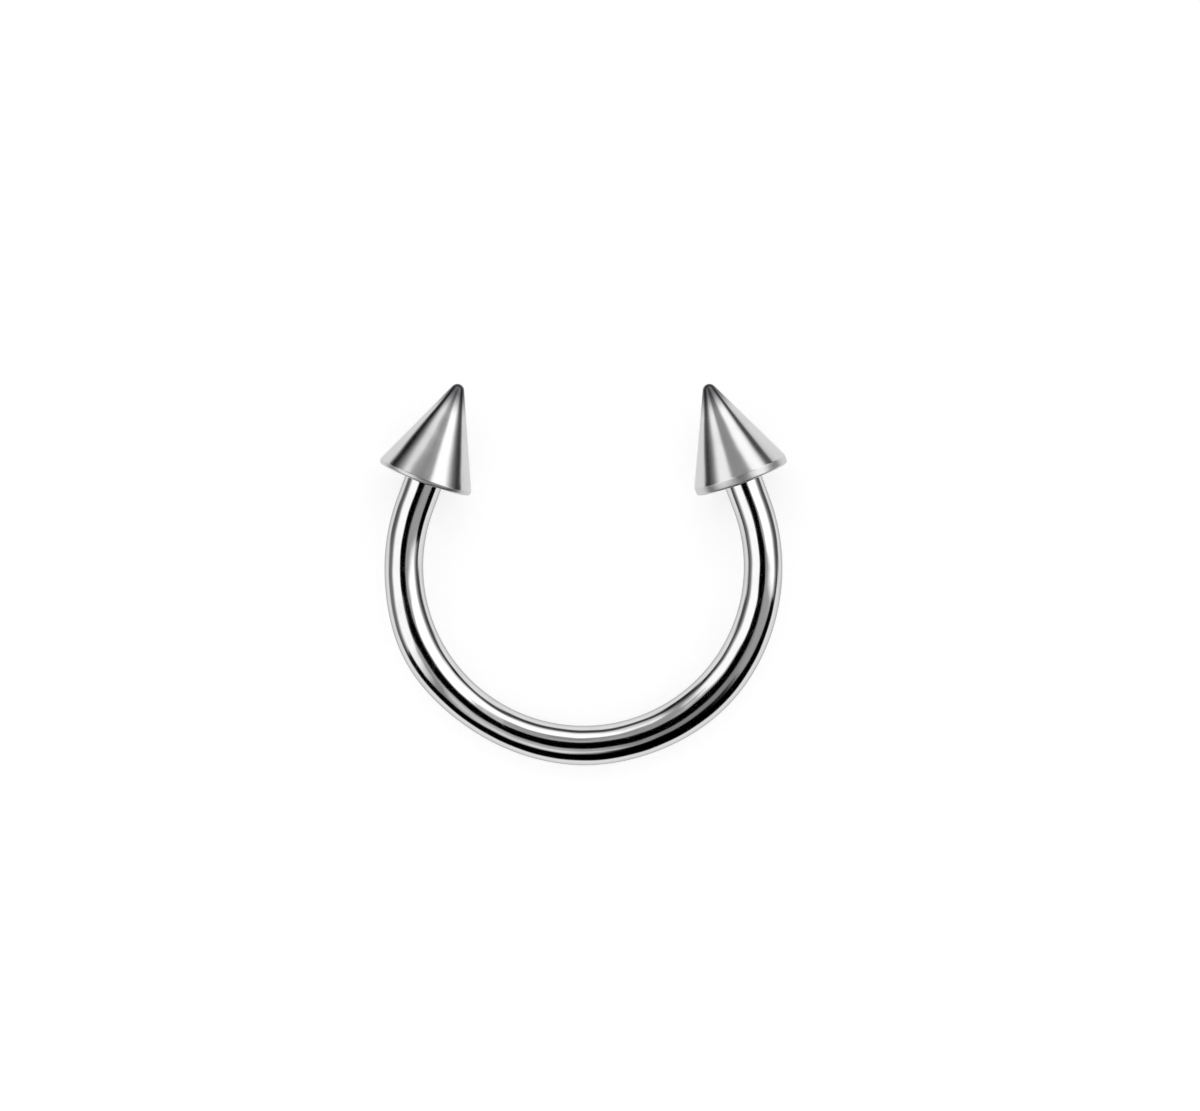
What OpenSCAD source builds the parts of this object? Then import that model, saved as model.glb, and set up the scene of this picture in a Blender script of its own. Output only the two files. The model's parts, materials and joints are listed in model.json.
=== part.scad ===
// A horseshoe piercing ring of round steel wire with a screw-on spike on each end,
// lying on its side: the two spike rims and the far side of the bend touch the surface.
// Millimetres. +X runs across the ring, +Y towards the open mouth, +Z up.

/* [Ring] */
// Inside diameter of the round bend
inside_d = 10; // [8:0.5:14]
// Diameter of the wire
wire_d = 1.2; // [1:0.1:1.6]
// How far the bend runs up past the ring's widest point on each side, in degrees
bend_rise = 20.5; // [10:0.5:30]
// Straight run from the end of the bend to the base of a spike
straight_run = 0.86; // [0.6:0.02:1.6]

/* [Threaded ends] */
// Chamfer on each shoulder of the wire, down to the thread's crests
shoulder_chamfer = 0.05; // [0.03:0.01:0.08]
// Distance from one thread crest to the next
thread_pitch = 0.25; // [0.2:0.01:0.28]
// Number of thread crests on each end
thread_crests = 5; // [3:1:5]
// Depth of the thread below its crests
thread_depth = 0.15; // [0.1:0.01:0.18]
// Length of the plain point past the last crest
thread_lead = 0.12; // [0.05:0.01:0.15]

/* [Spikes] */
// Diameter of a spike at its base
spike_d = 3; // [3:0.1:4]
// Height of a spike from its base to its tip
spike_h = 3.15; // [3.1:0.05:4.5]
// Height of the upright rim at the base
rim_h = 0.2; // [0.18:0.01:0.35]
// Radius of the rounded lower edge of the rim
rim_round = 0.07; // [0.03:0.01:0.08]
// Radius of the soft corner between the rim and the side of the cone
cone_foot_round = 0.25; // [0.1:0.05:0.3]
// Radius of the rounded tip
tip_round = 0.21; // [0.15:0.01:0.25]
// Depth of the bore at its full diameter
bore_depth = 1.5; // [1.5:0.05:1.6]
// Countersink at the mouth of the bore
bore_chamfer = 0.05; // [0.03:0.01:0.1]

/* [Fit] */
// Radial clearance between the thread's crests and the bore
bore_clearance = 0.03; // [0.02:0.01:0.05]
// Gap between the shoulder of the wire and the base of the spike
seat_gap = 0.03; // [0.02:0.01:0.1]

/* [Hidden] */
$fn = 96;
LEFT = -1;
RIGHT = 1;
polished_steel = [0.80, 0.80, 0.81];

wire_r = wire_d / 2;
bend_r = inside_d / 2 + wire_r;

// Distances ending in _s run along a leg of the wire from the end of the bend
shoulder_s = straight_run - seat_gap;
thread_end_s = shoulder_s + thread_crests * thread_pitch + thread_lead;
crest_r = wire_r - shoulder_chamfer;
root_r = crest_r - thread_depth;

spike_r = spike_d / 2;
bore_r = crest_r + bore_clearance;
drill_point_angle = 118;
bore_end_h = bore_depth + bore_r / tan(drill_point_angle / 2);
tip_centre_h = spike_h - tip_round;
// The side of the cone runs straight from the rim's upper corner to the round of the tip
side_angle = atan(spike_r / (tip_centre_h - rim_h)) - asin(tip_round / norm([spike_r, tip_centre_h - rim_h]));

// Round corners are drawn with one point about every this many degrees
corner_step = 15;

// How far the right spike's base, and the round of its rim, stand towards the mouth
base_y = bend_r * sin(bend_rise) + straight_run * cos(bend_rise);
rim_y = base_y + rim_round * cos(bend_rise);

// The angle between the ring's plane and the surface it lies on, refined from a first guess:
// a spike's rim hangs below its axis by `drop`, and the wire only by its own radius
function lying_angle(guess = 6, rounds_left = 6) =
    let (drop = (spike_r - rim_round) * sqrt(1 - pow(sin(guess) * cos(bend_rise), 2)) + rim_round)
    rounds_left == 0 ? guess : lying_angle(asin((drop - wire_r) / (bend_r + rim_y)), rounds_left - 1);
lie = lying_angle();

// Reach of the laid-down outline from the ring's centre, to the closed side and to the tips
closed_reach = bend_r * cos(lie) + wire_r;
mouth_reach = (base_y + tip_centre_h * cos(bend_rise)) * cos(lie) + tip_round;

// Points on a round corner, from one angle to another about its centre
function arc(centre, r, from, to) =
    let (steps = ceil((to - from) / corner_step))
    [for (i = [0:steps]) let (a = from + (to - from) * i / steps) centre + r * [cos(a), sin(a)]];

// Lays the ring down on the surface, with the middle of its outline over the origin
module lie_down() {
    translate([0, (closed_reach - mouth_reach) / 2, bend_r * sin(lie) + wire_r])
        rotate([lie, 0, 0]) children();
}

// Stands a shape on one leg of the ring, with its foot `along` the leg from the end of the bend
module on_leg(side, along = 0) {
    rotate([0, 0, side * bend_rise])
        translate([side * bend_r, along, 0])
            rotate([-90, 0, 0]) children();
}

// The round bend of the wire
module bend() {
    rotate([0, 0, 180 - bend_rise])
        rotate_extrude(angle = 180 + 2 * bend_rise)
            translate([bend_r, 0]) circle(r = wire_r);
}

// A straight leg of the wire, its chamfered shoulder, and the thread past it drawn as plain rings
module threaded_leg() {
    thread = [for (i = [1:thread_crests]) each [
        [root_r, shoulder_s + (i - 0.5) * thread_pitch],
        [crest_r, shoulder_s + i * thread_pitch]
    ]];
    rotate_extrude()
        polygon(concat(
            [[0, 0], [wire_r, 0], [wire_r, shoulder_s - shoulder_chamfer], [crest_r, shoulder_s]],
            thread,
            [[root_r, thread_end_s], [0, thread_end_s]]
        ));
}

// A turned spike with a blind bore up its base
module spike() {
    cone_foot_h = rim_h - cone_foot_round * tan(side_angle / 2);
    rotate_extrude()
        polygon(concat(
            [[0, bore_end_h], [bore_r, bore_depth], [bore_r, bore_chamfer], [bore_r + bore_chamfer, 0]],
            arc([spike_r - rim_round, rim_round], rim_round, -90, 0),
            arc([spike_r - cone_foot_round, cone_foot_h], cone_foot_round, 0, side_angle),
            arc([0, tip_centre_h], tip_round, side_angle, 90)
        ));
}

module horseshoe_bar() {
    color(polished_steel)
        lie_down() {
            bend();
            for (side = [LEFT, RIGHT]) on_leg(side) threaded_leg();
        }
}

module left_spike() {
    color(polished_steel)
        lie_down() on_leg(LEFT, straight_run) spike();
}

module right_spike() {
    color(polished_steel)
        lie_down() on_leg(RIGHT, straight_run) spike();
}

horseshoe_bar();
left_spike();
right_spike();
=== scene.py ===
"""A horseshoe piercing ring: bent and polished steel wire with a turned spike screwed onto each end."""

import json
import math
from collections import namedtuple

import bmesh
import bpy
from mathutils import Matrix, Vector


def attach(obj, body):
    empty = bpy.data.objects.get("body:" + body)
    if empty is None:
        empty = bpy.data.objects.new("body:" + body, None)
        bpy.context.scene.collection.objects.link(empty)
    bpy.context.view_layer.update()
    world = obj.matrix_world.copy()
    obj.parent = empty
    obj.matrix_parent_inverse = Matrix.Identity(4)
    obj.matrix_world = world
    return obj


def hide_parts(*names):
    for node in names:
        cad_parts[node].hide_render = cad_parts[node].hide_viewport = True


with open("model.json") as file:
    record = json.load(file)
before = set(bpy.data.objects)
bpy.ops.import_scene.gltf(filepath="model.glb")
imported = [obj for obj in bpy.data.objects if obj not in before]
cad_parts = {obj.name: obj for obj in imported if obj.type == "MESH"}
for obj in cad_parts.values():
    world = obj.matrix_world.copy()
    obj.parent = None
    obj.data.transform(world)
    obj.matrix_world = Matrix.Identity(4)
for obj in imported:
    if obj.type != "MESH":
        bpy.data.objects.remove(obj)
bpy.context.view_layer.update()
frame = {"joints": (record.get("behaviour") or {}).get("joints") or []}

# Sizes in millimetres. A name that ends in _S or _s is a distance along a leg from the end of the bend.
MM = 0.001
WIRE_R = 0.6
BEND_R = 5.6
STRAIGHT_RUN = 0.86
SEAT_GAP = 0.03
SHOULDER_S = STRAIGHT_RUN - SEAT_GAP
SHOULDER_CHAMFER = 0.05
SHOULDER_ROUND = 0.015
CREST_R = WIRE_R - SHOULDER_CHAMFER
THREAD_PITCH = 0.25
THREAD_DEPTH = 0.15
# The length of a threaded end, and of the chamfered point that it ends in
THREAD_L = 1.37
THREAD_POINT = 0.12
SPIKE_R = 1.5
SPIKE_H = 3.15
# The photograph shows one spike's rim higher than the other's
RIM_H = {"left": 0.14, "right": 0.26}
RIM_ROUND = 0.07
FOOT_ROUND = 0.08
TIP_ROUND = 0.21
BORE_CLEARANCE = 0.03
BORE_R = CREST_R + BORE_CLEARANCE
BORE_DEPTH = 1.5
BORE_CHAMFER = 0.05
DRILL_HALF_ANGLE = math.radians(59)
BORE_END = BORE_DEPTH + BORE_R / math.tan(DRILL_HALF_ANGLE)
GROOVE_DEPTH = 0.08

# Fineness of the meshes
WIRE_SIDES = 96
SPIKE_SIDES = 160
BEND_STEPS = 221
ROWS_PER_PITCH = 20
SHOULDER_STEPS = 4
RIM_STEPS = 6
TIP_STEPS = 12
# How far from the wire's shoulder a row of faces keeps the shading of the leg even, in mm
SHOULDER_ROW = 0.04
# Points closer together than this are one point, in mm: within a shape, and where a leg meets the bend
MERGE = 1e-4
JOIN_MERGE = 1e-3
# The weighted normals follow the large faces
LARGE_FACE_WEIGHT = 100

LEFT, RIGHT = -1, 1

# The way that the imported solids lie: the spikes slide along the wire's own ends
left_axis = Vector(next(j["axis"] for j in frame["joints"] if j["child"] == "left_spike"))
LIE = math.atan2(left_axis.z, left_axis.y)
BEND_RISE = math.asin(left_axis.x)
left_tip = Matrix.Rotation(-BEND_RISE, 3, "Z") @ Vector((-BEND_R, STRAIGHT_RUN + SPIKE_H - TIP_ROUND, 0))
closed_reach = BEND_R * math.cos(LIE) + WIRE_R
mouth_reach = left_tip.y * math.cos(LIE) + TIP_ROUND
RING_CENTRE = Vector((0, (closed_reach - mouth_reach) / 2, BEND_R * math.sin(LIE) + WIRE_R)) * MM
LAID_DOWN = Matrix.Translation(RING_CENTRE) @ Matrix.Rotation(LIE, 4, "X") @ Matrix.Scale(MM, 4)


def on_leg(side, along=0.0):
    """Places a shape that stands on +Z on one leg of the wire, in the ring's own plane."""
    lean = Matrix.Rotation(side * BEND_RISE, 4, "Z")
    foot = Matrix.Translation((side * BEND_R, along, 0))
    return lean @ foot @ Matrix.Rotation(math.radians(-90), 4, "X")


# The camera

PHOTO_SIZE = (1200, 1111)
RING_CENTRE_PX = (583.5, 567.2)
PX_PER_MM = 32.06
LENS = 135
SENSOR = 36
# How many times nearer and farther than the ring the camera still sees
CLIP_RATIO = 100


def add_camera():
    """Looks straight down, with the ring's centre where the photograph shows it."""
    data = bpy.data.cameras.new("camera")
    data.lens = LENS
    data.sensor_width = SENSOR
    frame_width = PHOTO_SIZE[0] / PX_PER_MM * MM
    distance = frame_width * LENS / SENSOR
    data.clip_start = distance / CLIP_RATIO
    data.clip_end = distance * CLIP_RATIO
    camera = bpy.data.objects.new("camera", data)
    right = (PHOTO_SIZE[0] / 2 - RING_CENTRE_PX[0]) / PX_PER_MM * MM
    up = (RING_CENTRE_PX[1] - PHOTO_SIZE[1] / 2) / PX_PER_MM * MM
    camera.location = RING_CENTRE + Vector((right, up, distance))
    bpy.context.scene.collection.objects.link(camera)
    bpy.context.scene.camera = camera


# Small helpers for meshes

def turned(outline, sides):
    """A round solid turned from an outline of (radius, height) corners."""
    bm = bmesh.new()
    corners = [bm.verts.new((r, 0, h)) for r, h in outline]
    lines = [bm.edges.new(pair) for pair in zip(corners, corners[1:])]
    bmesh.ops.spin(
        bm, geom=corners + lines, cent=(0, 0, 0), axis=(0, 0, 1), dvec=(0, 0, 0),
        angle=math.tau, steps=sides, use_merge=True, use_normal_flip=False, use_duplicate=False,
    )
    bmesh.ops.remove_doubles(bm, verts=bm.verts, dist=MERGE)
    bmesh.ops.recalc_face_normals(bm, faces=bm.faces)
    return bm


def ring_edges(bm, radius, height):
    """The edges of the ring at this radius and height of a turned solid."""
    def on_it(v):
        return abs(math.hypot(v.co.x, v.co.y) - radius) < MERGE and abs(v.co.z - height) < MERGE
    return [e for e in bm.edges if all(on_it(v) for v in e.verts)]


def round_ring(bm, radius, height, setback, segments):
    """Rounds the edge at this radius and height, starting `setback` from it on each side."""
    bmesh.ops.bevel(
        bm, geom=ring_edges(bm, radius, height), offset=setback, offset_type="OFFSET",
        affect="EDGES", segments=segments, profile=0.5, material=-1, clamp_overlap=True,
    )


def add_rows(bm, low, high):
    """Cuts the upright wall between two heights into rows, fine enough for a thread."""
    def upright(e):
        a, b = (v.co for v in e.verts)
        inside = min(a.z, b.z) > low - MERGE and max(a.z, b.z) < high + MERGE
        return inside and abs(a.z - b.z) > (high - low) / 2 and (a.xy - b.xy).length < MERGE
    rows = round((high - low) / THREAD_PITCH * ROWS_PER_PITCH)
    walls = [e for e in bm.edges if upright(e)]
    bmesh.ops.subdivide_edges(bm, edges=walls, cuts=rows - 1, use_grid_fill=True)


def thread_share(height, turn):
    """How deep a right-handed thread is at a height and an angle, from 0 on its crest to 1 at its root."""
    crest_flat, root_flat = 1 / 8, 1 / 4
    phase = (height / THREAD_PITCH - turn / math.tau) % 1
    from_crest = 1 - abs(2 * phase - 1)
    return min(max((from_crest - crest_flat) / (1 - crest_flat - root_flat), 0), 1)


def cut_thread(bm, radius, low, high, depth):
    """Cuts a thread outwards, or inwards by a negative depth, into the upright wall of this radius.

    It fades in over half a pitch at its low end."""
    fade = THREAD_PITCH / 2
    for v in bm.verts:
        r = math.hypot(v.co.x, v.co.y)
        if abs(r - radius) > MERGE or not low - MERGE < v.co.z < high + MERGE:
            continue
        turn = math.atan2(v.co.y, v.co.x)
        start = min(max((v.co.z - low) / fade, 0), 1)
        r += depth * start * thread_share(v.co.z, turn)
        v.co.x, v.co.y = r * math.cos(turn), r * math.sin(turn)


def keep_stock_place(bm, place):
    """Keeps each point's place on the straight, unbent stock, in mm, for the finish to follow."""
    layer = bm.verts.layers.float_vector.new("stock")
    for v in bm.verts:
        v[layer] = place(v.co)


def join(bm, other):
    """Adds another bmesh to this one."""
    mesh = bpy.data.meshes.new("part")
    other.to_mesh(mesh)
    other.free()
    bm.from_mesh(mesh)
    bpy.data.meshes.remove(mesh)


def finish_piece(name, bm, body, node, material):
    """Lays the shape down in the frame and makes it a smooth piece that rides on its body."""
    bmesh.ops.transform(bm, matrix=LAID_DOWN, verts=bm.verts)
    bmesh.ops.recalc_face_normals(bm, faces=bm.faces)
    mesh = bpy.data.meshes.new(name)
    bm.to_mesh(mesh)
    bm.free()
    mesh.shade_smooth()
    mesh.materials.append(material)
    piece = bpy.data.objects.new(name, mesh)
    bpy.context.scene.collection.objects.link(piece)
    even = piece.modifiers.new("even_normals", "WEIGHTED_NORMAL")
    even.weight = LARGE_FACE_WEIGHT
    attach(piece, body)
    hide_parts(node)


# The bent wire

# Where bending swelled the outer side of the wire: azimuth and spread in degrees, height in mm
SWELLINGS = [
    {"azimuth": 208, "spread": 17, "height": 0.11},
    {"azimuth": 271, "spread": 16, "height": 0.035},
    {"azimuth": 317, "spread": 26, "height": 0.075},
]


def swelling(azimuth):
    """How far the outer side of the wire stands out at an azimuth in degrees."""
    total = 0
    for place in SWELLINGS:
        away = (azimuth - place["azimuth"] + 180) % 360 - 180
        total += place["height"] * math.exp(-((away / place["spread"]) ** 2))
    return total


def make_bend():
    """The round bend, swept from the right leg round to the left one."""
    bm = bmesh.new()
    bmesh.ops.create_circle(bm, cap_ends=False, segments=WIRE_SIDES, radius=WIRE_R, matrix=on_leg(RIGHT))
    sweep = math.pi + 2 * BEND_RISE
    bmesh.ops.spin(
        bm, geom=bm.verts[:] + bm.edges[:], cent=(0, 0, 0), axis=(0, 0, -1), dvec=(0, 0, 0),
        angle=sweep, steps=BEND_STEPS, use_merge=False, use_normal_flip=False, use_duplicate=False,
    )
    # The angle round the bend starts anew in the open mouth, this many radians before the right leg
    seam = 0.5

    def stock_place(co):
        along = (BEND_RISE - math.atan2(co.y, co.x) + seam) % math.tau - seam
        return BEND_R * along, math.hypot(co.x, co.y) - BEND_R, co.z

    keep_stock_place(bm, stock_place)
    for v in bm.verts:
        radius = math.hypot(v.co.x, v.co.y)
        outward = ((radius - BEND_R + WIRE_R) / (2 * WIRE_R)) ** 2
        grown = radius + outward * swelling(math.degrees(math.atan2(v.co.y, v.co.x)))
        v.co.x *= grown / radius
        v.co.y *= grown / radius
    return bm


def make_leg(side):
    """A straight leg with its chamfered shoulder and its thread."""
    thread_end = SHOULDER_S + THREAD_L
    point_s = thread_end - THREAD_POINT
    chamfer_s = SHOULDER_S - SHOULDER_CHAMFER
    bm = turned([
        (WIRE_R, 0), (WIRE_R, chamfer_s / 2), (WIRE_R, chamfer_s - SHOULDER_ROW), (WIRE_R, chamfer_s),
        (CREST_R, SHOULDER_S), (CREST_R, point_s), (CREST_R - THREAD_POINT, thread_end), (0, thread_end),
    ], WIRE_SIDES)
    round_ring(bm, WIRE_R, chamfer_s, SHOULDER_ROUND, SHOULDER_STEPS)
    add_rows(bm, SHOULDER_S, point_s)
    cut_thread(bm, CREST_R, SHOULDER_S, point_s, -THREAD_DEPTH)

    def stock_place(co):
        along = BEND_R * (math.pi + 2 * BEND_RISE) + co.z if side == LEFT else -co.z
        return along, side * co.x, -co.y

    keep_stock_place(bm, stock_place)
    bmesh.ops.transform(bm, matrix=on_leg(side), verts=bm.verts)
    return bm


def make_bar(material):
    """The whole wire: the bend and its two legs, joined into one closed shape."""
    bm = make_bend()
    for side in (LEFT, RIGHT):
        join(bm, make_leg(side))
    bmesh.ops.remove_doubles(bm, verts=bm.verts, dist=JOIN_MERGE)
    finish_piece("polished_bar", bm, "bar", "horseshoe_bar", material)


# The spikes

def side_angle(rim_h):
    """The angle between a spike's axis and its straight side, which touches the round of the tip."""
    rise = SPIKE_H - TIP_ROUND - rim_h
    return math.atan(SPIKE_R / rise) - math.asin(TIP_ROUND / math.hypot(SPIKE_R, rise))


def make_spike(side, name, node, rim_h, material):
    """One spike, whose body in the frame has its node's name."""
    angle = side_angle(rim_h)
    tip_centre = SPIKE_H - TIP_ROUND
    tip = [
        (TIP_ROUND * math.cos(a), tip_centre + TIP_ROUND * math.sin(a))
        for a in [angle + (math.pi / 2 - angle) * i / TIP_STEPS for i in range(TIP_STEPS)]
    ]
    bm = turned([
        (0, BORE_END), (BORE_R, BORE_DEPTH), (BORE_R, BORE_CHAMFER), (BORE_R + BORE_CHAMFER, 0),
        (SPIKE_R, 0), (SPIKE_R, rim_h), *tip, (0, SPIKE_H),
    ], SPIKE_SIDES)
    round_ring(bm, SPIKE_R, 0, RIM_ROUND, RIM_STEPS)
    round_ring(bm, SPIKE_R, rim_h, FOOT_ROUND * math.tan(angle / 2), RIM_STEPS)
    add_rows(bm, BORE_CHAMFER, BORE_DEPTH)
    cut_thread(bm, BORE_R, BORE_CHAMFER, BORE_DEPTH, GROOVE_DEPTH)
    keep_stock_place(bm, lambda co: co)
    bmesh.ops.transform(bm, matrix=on_leg(side, STRAIGHT_RUN), verts=bm.verts)
    finish_piece(name, bm, node, node, material)


# Shader helpers

def add_node(tree, kind, **settings):
    """Adds a node with these settings."""
    node = tree.nodes.new(kind)
    for key, value in settings.items():
        setattr(node, key, value)
    return node


def feed(tree, socket, value):
    """Links a socket into another, or sets it to a number, vector or colour."""
    if isinstance(value, bpy.types.NodeSocket):
        tree.links.new(value, socket)
    else:
        socket.default_value = value


def calculate(tree, operation, *values):
    """The result of one operation on numbers."""
    node = add_node(tree, "ShaderNodeMath", operation=operation)
    for socket, value in zip(node.inputs, values):
        feed(tree, socket, value)
    return node.outputs[0]


def dot(tree, a, b):
    """The dot product of two vectors."""
    node = add_node(tree, "ShaderNodeVectorMath", operation="DOT_PRODUCT")
    feed(tree, node.inputs[0], a)
    feed(tree, node.inputs[1], b)
    return node.outputs["Value"]


def scaled(tree, place, by):
    """A vector with each of its numbers multiplied."""
    node = add_node(tree, "ShaderNodeVectorMath", operation="MULTIPLY")
    feed(tree, node.inputs[0], place)
    feed(tree, node.inputs[1], by)
    return node.outputs[0]


def length_of(tree, place):
    """The length of a vector."""
    node = add_node(tree, "ShaderNodeVectorMath", operation="LENGTH")
    feed(tree, node.inputs[0], place)
    return node.outputs["Value"]


def ease(tree, value, low, high, result_low=0.0, result_high=1.0):
    """A smooth step from one result to the other as the value goes from low to high."""
    node = add_node(tree, "ShaderNodeMapRange", interpolation_type="SMOOTHSTEP")
    for socket, number in zip(node.inputs, (value, low, high, result_low, result_high)):
        feed(tree, socket, number)
    return node.outputs["Result"]


def blend_values(tree, mask, under, over):
    """One number where the mask is 0 or less, the other where it is 1 or more."""
    node = add_node(tree, "ShaderNodeMix", data_type="FLOAT")
    feed(tree, node.inputs["Factor"], mask)
    feed(tree, node.inputs["A"], under)
    feed(tree, node.inputs["B"], over)
    return node.outputs["Result"]


def blend_colours(tree, mask, under, over):
    """One colour where the mask is 0, the other where it is 1."""
    # Places of the mix node's colour sockets, which have the same labels as its other sockets
    colour_a, colour_b, colour_result = 6, 7, 2
    node = add_node(tree, "ShaderNodeMix", data_type="RGBA")
    feed(tree, node.inputs["Factor"], mask)
    feed(tree, node.inputs[colour_a], under)
    feed(tree, node.inputs[colour_b], over)
    return node.outputs[colour_result]


def noise(tree, place, scale=1.0, detail=1.0, roughness=0.5):
    """A soft noise in space, from 0 to 1."""
    node = add_node(tree, "ShaderNodeTexNoise", noise_dimensions="3D")
    for label, value in (("Vector", place), ("Scale", scale), ("Detail", detail), ("Roughness", roughness)):
        feed(tree, node.inputs[label], value)
    return node.outputs["Fac"]


def new_group(name, inputs, outputs):
    """A shader node group with named sockets; returns the tree and its input and output nodes."""
    tree = bpy.data.node_groups.new(name, "ShaderNodeTree")
    for label, kind in inputs:
        tree.interface.new_socket(name=label, in_out="INPUT", socket_type=kind)
    for label, kind in outputs:
        tree.interface.new_socket(name=label, in_out="OUTPUT", socket_type=kind)
    return tree, tree.nodes.new("NodeGroupInput").outputs, tree.nodes.new("NodeGroupOutput").inputs


def use_group(tree, group, label="", **values):
    """Uses a group with these inputs, whose underscores stand for spaces; returns its outputs."""
    node = add_node(tree, "ShaderNodeGroup", node_tree=group, label=label)
    for key, value in values.items():
        feed(tree, node.inputs[key.replace("_", " ")], value)
    return node.outputs


# The studio

# A card stands upright round the ring at an azimuth. It reaches half its width to either side, from the
# elevation of its bottom to that of its top, all in degrees as seen from the ring. Each edge is soft over
# a share of the card's distance. A light of 1 is white.
Card = namedtuple("Card", "name azimuth half_width bottom top edge light")

# Soft boxes, grey walls, papers and dim corners. A later card covers the earlier ones.
CARDS = [
    Card("grey wall", azimuth=124, half_width=18, bottom=20, top=72, edge=0.3, light=0.34),
    Card("front wall", azimuth=296, half_width=22, bottom=5, top=72, edge=0.25, light=0.26),
    Card("side wall", azimuth=337, half_width=24, bottom=5, top=72, edge=0.25, light=0.37),
    Card("side wall end", azimuth=350, half_width=11, bottom=5, top=72, edge=0.2, light=0.5),
    Card("dim top", azimuth=213, half_width=20, bottom=66, top=76, edge=0.2, light=0.05),
    Card("paper strip", azimuth=243, half_width=6, bottom=34, top=60, edge=0.1, light=0.7),
    Card("paper fold", azimuth=266, half_width=16, bottom=40, top=54, edge=0.15, light=0.85),
    Card("left softbox", azimuth=180, half_width=42, bottom=19, top=63, edge=0.18, light=1.2),
    Card("left softbox head", azimuth=197, half_width=29, bottom=44, top=66, edge=0.2, light=1.2),
    Card("dim corner", azimuth=231, half_width=5, bottom=15, top=62, edge=0.08, light=0.25),
    Card("right softbox", azimuth=20, half_width=37, bottom=20, top=70, edge=0.25, light=1.5),
    Card("wall corner", azimuth=52, half_width=16, bottom=57, top=72, edge=0.15, light=0.45),
    Card("right wall head", azimuth=60, half_width=14, bottom=48, top=70, edge=0.12, light=0.37),
    Card("wall head", azimuth=86, half_width=15, bottom=49, top=64, edge=0.08, light=0.31),
    Card("left wall head", azimuth=121, half_width=23, bottom=45, top=60, edge=0.1, light=0.34),
    Card("far softbox", azimuth=74, half_width=48, bottom=12, top=47, edge=0.1, light=1.4),
    Card("far corner", azimuth=114, half_width=10, bottom=16, top=38, edge=0.15, light=1.0),
]
# Black flags, and the darker and lighter places near the edge of the surface. They stand in front of
# everything else: the cards, the dark horizon and the surface.
FLAGS = [
    Card("front flag", azimuth=278, half_width=65, bottom=-4, top=39, edge=0.12, light=0.0),
    Card("tall flag", azimuth=291, half_width=20, bottom=30, top=50, edge=0.15, light=0.0),
    Card("far edge", azimuth=72, half_width=56, bottom=-11, top=10, edge=0.1, light=0.06),
    Card("far surface", azimuth=48, half_width=8, bottom=-13, top=-2, edge=0.08, light=0.85),
    Card("far step", azimuth=54, half_width=7, bottom=-1, top=17, edge=0.1, light=0.06),
    Card("far dark corner", azimuth=130, half_width=10, bottom=-16, top=8, edge=0.12, light=0.0),
    Card("low wall", azimuth=142, half_width=12, bottom=4, top=15, edge=0.1, light=0.12),
    Card("left glow", azimuth=190, half_width=12, bottom=-12, top=12, edge=0.15, light=0.2),
    Card("left edge", azimuth=170, half_width=9, bottom=-18, top=1, edge=0.1, light=0.12),
    Card("right edge", azimuth=9, half_width=14, bottom=-17, top=1, edge=0.1, light=0.1),
]
UP = (0, 0, 1)
WHITE = (1, 1, 1, 1)
ROOM_LIGHT = 0.5
# The black lens overhead: where it stands, and its radius and soft edge in degrees
LENS_TOWARDS = (-0.05, -0.03, 1.0)
LENS_ANGLE = 19
LENS_EDGE = 3
# Between which degrees from straight up the cards give way to the dark horizon, the horizon to the surface
# that the ring lies on, and the surface to the shade under the ring
HORIZON_FROM, HORIZON_TO = 62, 90
SURFACE_FROM, SURFACE_TO = 93, 100
SHADE_FROM, SHADE_TO = 131, 146
HORIZON_LIGHT = 0.04
SURFACE_LIGHT = 0.92
SHADE_LIGHT = 0.86
# The share of the light that is left when one piece of steel mirrors it in another
SECOND_REFLECTION = 0.08
# What the camera sees behind the ring, and what lights the floor
BACKDROP_LIGHT = 1.0
AMBIENT_LIGHT = 0.62
FLOOR_GLOW = 0.55
FLOOR_COLOUR = (0.8, 0.8, 0.8, 1)
FLOOR_ROUGHNESS = 0.9
# From the middle of the floor to each of its edges, in metres
FLOOR_REACH = 1.0


def card_group():
    """The share of a direction that an upright card fills, with soft edges."""
    tree, given, made = new_group(
        "card",
        [("Direction", "NodeSocketVector"), ("Facing", "NodeSocketVector"), ("Across", "NodeSocketVector"),
         ("Half Width", "NodeSocketFloat"), ("Bottom", "NodeSocketFloat"), ("Top", "NodeSocketFloat"),
         ("Edge", "NodeSocketFloat")],
        [("Mask", "NodeSocketFloat")],
    )
    # So small a number puts every direction that points away from the card far outside it
    least_ahead = 0.001
    ahead = calculate(tree, "MAXIMUM", dot(tree, given["Direction"], given["Facing"]), least_ahead)
    across = calculate(tree, "ABSOLUTE", dot(tree, given["Direction"], given["Across"]))
    across = calculate(tree, "DIVIDE", across, ahead)
    height = calculate(tree, "DIVIDE", dot(tree, given["Direction"], UP), ahead)
    mask = None
    for inside in (
        calculate(tree, "SUBTRACT", given["Half Width"], across),
        calculate(tree, "SUBTRACT", height, given["Bottom"]),
        calculate(tree, "SUBTRACT", given["Top"], height),
    ):
        soft = calculate(tree, "DIVIDE", inside, given["Edge"])
        soft = ease(tree, soft, -1.0, 1.0)
        mask = soft if mask is None else calculate(tree, "MULTIPLY", mask, soft)
    feed(tree, made["Mask"], mask)
    return tree


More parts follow.
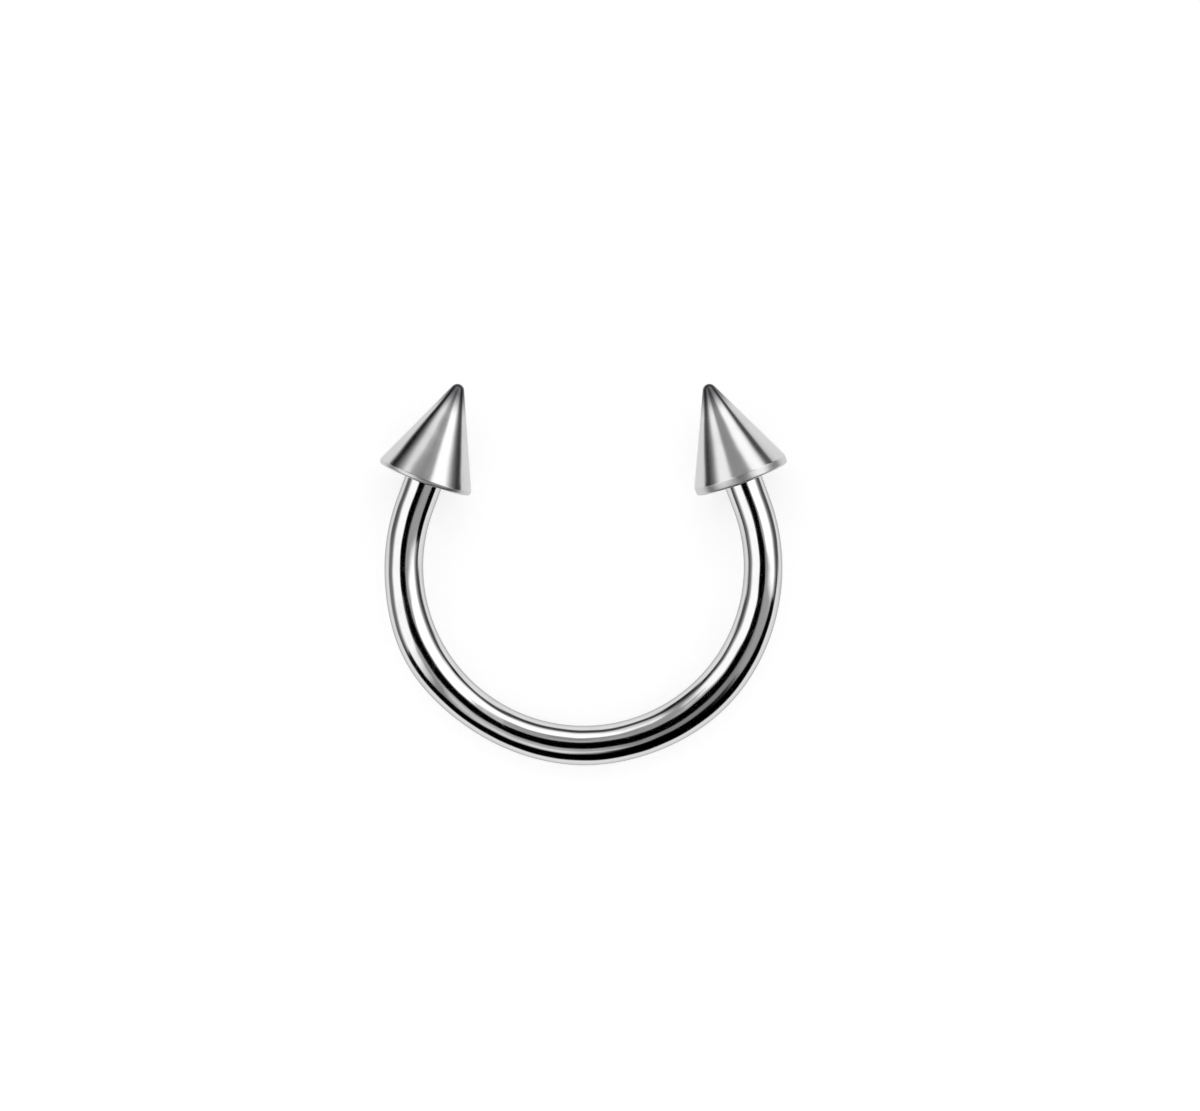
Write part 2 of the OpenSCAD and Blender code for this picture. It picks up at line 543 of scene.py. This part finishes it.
def lay_cards(tree, direction, light, group, cards):
    """Covers the light that comes from each direction with cards, one over the other."""
    for card in cards:
        facing = math.radians(card.azimuth)
        mask = use_group(
            tree, group, card.name,
            Direction=direction,
            Facing=(math.cos(facing), math.sin(facing), 0),
            Across=(-math.sin(facing), math.cos(facing), 0),
            Half_Width=math.tan(math.radians(card.half_width)),
            Bottom=math.tan(math.radians(card.bottom)),
            Top=math.tan(math.radians(card.top)),
            Edge=card.edge,
        )["Mask"]
        light = blend_values(tree, mask, light, card.light)
    return light


def angle_from(tree, direction, axis):
    """Degrees between a direction and a fixed axis."""
    return calculate(tree, "DEGREES", calculate(tree, "ARCCOSINE", dot(tree, direction, axis)))


def studio_light(tree):
    """The light that the steel mirrors from each direction."""
    direction = add_node(tree, "ShaderNodeTexCoord").outputs["Generated"]
    polar = angle_from(tree, direction, UP)
    from_lens = angle_from(tree, direction, Vector(LENS_TOWARDS).normalized())
    group = card_group()
    light = lay_cards(tree, direction, ROOM_LIGHT, group, CARDS)
    beside_lens = ease(tree, from_lens, LENS_ANGLE - LENS_EDGE, LENS_ANGLE + LENS_EDGE)
    light = blend_values(tree, beside_lens, 0.0, light)
    fall = HORIZON_TO - HORIZON_FROM
    near_horizon = calculate(tree, "MULTIPLY_ADD", polar, 1 / fall, -HORIZON_FROM / fall)
    light = blend_values(tree, near_horizon, light, HORIZON_LIGHT)
    light = blend_values(tree, ease(tree, polar, SURFACE_FROM, SURFACE_TO), light, SURFACE_LIGHT)
    light = blend_values(tree, ease(tree, polar, SHADE_FROM, SHADE_TO), light, SHADE_LIGHT)
    return lay_cards(tree, direction, light, group, FLAGS)


def add_world():
    """The steel mirrors the studio; all else is lit by an even white."""
    world = bpy.data.worlds.new("studio")
    bpy.context.scene.world = world
    world.use_nodes = True
    tree = world.node_tree
    tree.nodes.clear()
    studio = add_node(tree, "ShaderNodeBackground")
    feed(tree, studio.inputs["Color"], studio_light(tree))
    rays = add_node(tree, "ShaderNodeLightPath").outputs
    # Glossy Depth counts the mirroring surfaces between the camera and the studio
    kept = ease(tree, rays["Glossy Depth"], 1.0, 2.0, 1.0, SECOND_REFLECTION)
    feed(tree, studio.inputs["Strength"], kept)
    backdrop = add_node(tree, "ShaderNodeBackground")
    seen = blend_values(tree, rays["Is Camera Ray"], AMBIENT_LIGHT, BACKDROP_LIGHT)
    feed(tree, backdrop.inputs["Strength"], seen)
    feed(tree, backdrop.inputs["Color"], WHITE)
    mix = add_node(tree, "ShaderNodeMixShader")
    feed(tree, mix.inputs[0], rays["Is Glossy Ray"])
    feed(tree, mix.inputs[1], backdrop.outputs[0])
    feed(tree, mix.inputs[2], studio.outputs[0])
    feed(tree, add_node(tree, "ShaderNodeOutputWorld").inputs["Surface"], mix.outputs[0])
    # The white is even, so no map of its bright places is needed
    world.cycles.sampling_method = "NONE"


def add_floor():
    """A plain pale surface, lit a little from inside like a light table."""
    bm = bmesh.new()
    bmesh.ops.create_grid(bm, x_segments=1, y_segments=1, size=FLOOR_REACH)
    mesh = bpy.data.meshes.new("floor")
    bm.to_mesh(mesh)
    bm.free()
    material = bpy.data.materials.new("pale_floor")
    material.use_nodes = True
    shader = material.node_tree.nodes["Principled BSDF"]
    shader.inputs["Base Color"].default_value = FLOOR_COLOUR
    shader.inputs["Roughness"].default_value = FLOOR_ROUGHNESS
    shader.inputs["Specular IOR Level"].default_value = 0.0
    shader.inputs["Emission Color"].default_value = WHITE
    shader.inputs["Emission Strength"].default_value = FLOOR_GLOW
    mesh.materials.append(material)
    floor = bpy.data.objects.new("floor", mesh)
    # The steel mirrors the studio's surface in its place
    floor.visible_glossy = False
    bpy.context.scene.collection.objects.link(floor)


# The finish

STEEL_COLOUR = (0.80, 0.80, 0.805, 1)
# The spikes' steel is a little darker than the wire's: painted shade for the spikes' darker look
SHADED_SPIKE_COLOUR = (0.70, 0.70, 0.705, 1)
# A painted dark reflection that darkens each spike towards its tip
TIP_PAINTED_REFLECTION_COLOUR = (0.11, 0.11, 0.115, 1)
# Dark colour for the haze, and for the painted shade in the thread roots and the bore
HAZE_AND_SHADE_COLOUR = (0.34, 0.335, 0.33, 1)
WIRE_EDGE_TINT = (0.55, 0.55, 0.55, 1)
WIRE_ROUGHNESS = 0.065
SPIKE_ROUGHNESS = 0.125
RIM_ROUGHNESS = 0.32
# How much of the dark colour of haze and painted shade full haze brings in
HAZE_SHARE = 0.12
# How much each mark of polishing adds to the roughness, and how deep it is in mm
LINE_DULLING, HAZE_DULLING, HAIR_DULLING = 0.05, 0.02, 0.08
LINE_DEPTH, HAIR_DEPTH = 0.0003, 0.0004
WIRE_WAVE_HEIGHT, SPIKE_WAVE_HEIGHT = 0.05, 0.02
# How closely each mark repeats in a millimetre of the stock
WIRE_LINES, WIRE_HAIRS, WIRE_WAVES = (0.4, 14, 14), (1.2, 26, 9), 0.6
SPIKE_LINES, SPIKE_HAIRS, SPIKE_WAVES = (16, 16, 16), (9, 1.2, 22), 0.8
# How far the lines turned round a spike drift on their way
LINE_DRIFT = (0.03, 0.03, 0)
HAIR_SLANT = math.radians(24)
# Between which values of the noise the haze, the hair scratches and their patches set in
HAZE_FROM, HAZE_TO = 0.45, 0.75
HAIR_FROM, HAIR_TO = 0.66, 0.74
PATCH_FROM, PATCH_TO = 0.52, 0.62
# How far below its crest a thread's painted root shade starts, and over what the rim's finish and the
# bore's painted shade fade
ROOT_SHADE_SETBACK = 0.01
RIM_FADE = 0.01
BORE_FADE = 0.04
# Where a spike's painted dark reflection starts and where it is darkest, below its tip
TIP_REFLECTION_FROM, TIP_REFLECTION_TO = 1.0, 0.2


def polish_group():
    """What polishing leaves on steel: fine tool lines, soft waves, hazy patches and hair scratches."""
    tree, given, made = new_group(
        "polish",
        [("Place", "NodeSocketVector"), ("Line Place", "NodeSocketVector"),
         ("Hair Stretch", "NodeSocketVector"), ("Wave Scale", "NodeSocketFloat")],
        [("Lines", "NodeSocketFloat"), ("Waves", "NodeSocketFloat"), ("Haze", "NodeSocketFloat"),
         ("Hairs", "NodeSocketFloat")],
    )
    feed(tree, made["Lines"], noise(tree, given["Line Place"], detail=3.0, roughness=0.6))
    feed(tree, made["Waves"], noise(tree, given["Place"], scale=given["Wave Scale"]))
    haze = noise(tree, given["Place"], scale=1.3, detail=4.0, roughness=0.6)
    feed(tree, made["Haze"], ease(tree, haze, HAZE_FROM, HAZE_TO))
    aslant = add_node(tree, "ShaderNodeVectorRotate", rotation_type="Z_AXIS")
    feed(tree, aslant.inputs["Vector"], given["Place"])
    feed(tree, aslant.inputs["Angle"], HAIR_SLANT)
    hairs = noise(tree, scaled(tree, aslant.outputs[0], given["Hair Stretch"]))
    hairs = ease(tree, hairs, HAIR_FROM, HAIR_TO)
    patches = ease(tree, noise(tree, given["Place"], scale=2.1), PATCH_FROM, PATCH_TO)
    feed(tree, made["Hairs"], calculate(tree, "MULTIPLY", hairs, patches))
    return tree


def new_steel(name):
    """A steel material, its tree and shader, and the place of each point on the stock."""
    material = bpy.data.materials.new(name)
    material.use_nodes = True
    tree = material.node_tree
    shader = tree.nodes["Principled BSDF"]
    shader.inputs["Metallic"].default_value = 1.0
    stock = add_node(tree, "ShaderNodeAttribute", attribute_name="stock").outputs["Vector"]
    return material, tree, shader, stock


def lay_polish(tree, shader, marks, roughness, wave_height):
    """Lays the marks of polishing on the shader's roughness and normal."""
    dulled = calculate(tree, "MULTIPLY_ADD", marks["Lines"], LINE_DULLING, roughness)
    dulled = calculate(tree, "MULTIPLY_ADD", marks["Haze"], HAZE_DULLING, dulled)
    dulled = calculate(tree, "MULTIPLY_ADD", marks["Hairs"], HAIR_DULLING, dulled)
    feed(tree, shader.inputs["Roughness"], dulled)
    height = calculate(tree, "MULTIPLY", marks["Waves"], wave_height)
    height = calculate(tree, "MULTIPLY_ADD", marks["Lines"], LINE_DEPTH, height)
    height = calculate(tree, "MULTIPLY_ADD", marks["Hairs"], -HAIR_DEPTH, height)
    bump = add_node(tree, "ShaderNodeBump")
    bump.inputs["Distance"].default_value = MM
    feed(tree, bump.inputs["Height"], height)
    feed(tree, shader.inputs["Normal"], bump.outputs[0])


def add_haze_and_shade(tree, marks, painted_shade, colour):
    """The colour of the steel: darker with painted shade where the shade mask is, and a little darker in
    the haze.
    """
    haze = calculate(tree, "MULTIPLY", marks["Haze"], HAZE_SHARE)
    dark = calculate(tree, "MAXIMUM", painted_shade, haze)
    return blend_colours(tree, dark, colour, HAZE_AND_SHADE_COLOUR)


def drawn_steel(polish):
    """The wire: lines drawn along it, and threads with painted shade in their roots."""
    material, tree, shader, stock = new_steel("drawn_steel")
    shader.inputs["Specular Tint"].default_value = WIRE_EDGE_TINT
    lines = scaled(tree, stock, WIRE_LINES)
    marks = use_group(
        tree, polish, Place=stock, Line_Place=lines, Hair_Stretch=WIRE_HAIRS, Wave_Scale=WIRE_WAVES,
    )
    lay_polish(tree, shader, marks, WIRE_ROUGHNESS, WIRE_WAVE_HEIGHT)
    # Painted shade in the thread roots: darker from just below the crest down to the root
    from_axis = length_of(tree, scaled(tree, stock, (0, 1, 1)))
    root = ease(tree, from_axis, CREST_R - THREAD_DEPTH, CREST_R - ROOT_SHADE_SETBACK, 1.0, 0.0)
    feed(tree, shader.inputs["Base Color"], add_haze_and_shade(tree, marks, root, STEEL_COLOUR))
    return material


def turned_steel(name, polish, rim_h):
    """A spike: lines turned round it, a duller rim, a tip darkened by a painted dark reflection, and
    painted shade in the bore.
    """
    material, tree, shader, stock = new_steel(name)
    height = dot(tree, stock, UP)
    from_axis = length_of(tree, scaled(tree, stock, (1, 1, 0)))
    rings = add_node(tree, "ShaderNodeCombineXYZ")
    feed(tree, rings.inputs["X"], from_axis)
    feed(tree, rings.inputs["Y"], height)
    feed(tree, rings.inputs["Z"], dot(tree, stock, LINE_DRIFT))
    lines = scaled(tree, rings.outputs[0], SPIKE_LINES)
    marks = use_group(
        tree, polish, Place=stock, Line_Place=lines, Hair_Stretch=SPIKE_HAIRS, Wave_Scale=SPIKE_WAVES,
    )
    rim_inner = SPIKE_R - RIM_ROUND
    rim = calculate(
        tree, "MULTIPLY", ease(tree, height, rim_h - RIM_FADE, rim_h + RIM_FADE, 1.0, 0.0),
        ease(tree, from_axis, rim_inner - 2 * RIM_FADE, rim_inner),
    )
    roughness = blend_values(tree, rim, SPIKE_ROUGHNESS, RIM_ROUGHNESS)
    lay_polish(tree, shader, marks, roughness, SPIKE_WAVE_HEIGHT)
    # Painted shade inside the bore
    bore_shade = calculate(
        tree, "MULTIPLY", ease(tree, from_axis, BORE_R, BORE_R + BORE_CHAMFER, 1.0, 0.0),
        ease(tree, height, BORE_END, BORE_END + BORE_FADE, 1.0, 0.0),
    )
    tone = add_haze_and_shade(tree, marks, bore_shade, SHADED_SPIKE_COLOUR)
    # Painted dark reflection towards the tip
    tip = ease(tree, height, SPIKE_H - TIP_REFLECTION_FROM, SPIKE_H - TIP_REFLECTION_TO)
    feed(tree, shader.inputs["Base Color"], blend_colours(tree, tip, tone, TIP_PAINTED_REFLECTION_COLOUR))
    return material


bpy.context.scene.view_settings.view_transform = "Standard"
add_camera()
add_world()
add_floor()
polish = polish_group()
make_bar(drawn_steel(polish))
for side, label in ((LEFT, "left"), (RIGHT, "right")):
    steel = turned_steel("turned_steel_" + label, polish, RIM_H[label])
    make_spike(side, "polished_spike_" + label, label + "_spike", RIM_H[label], steel)
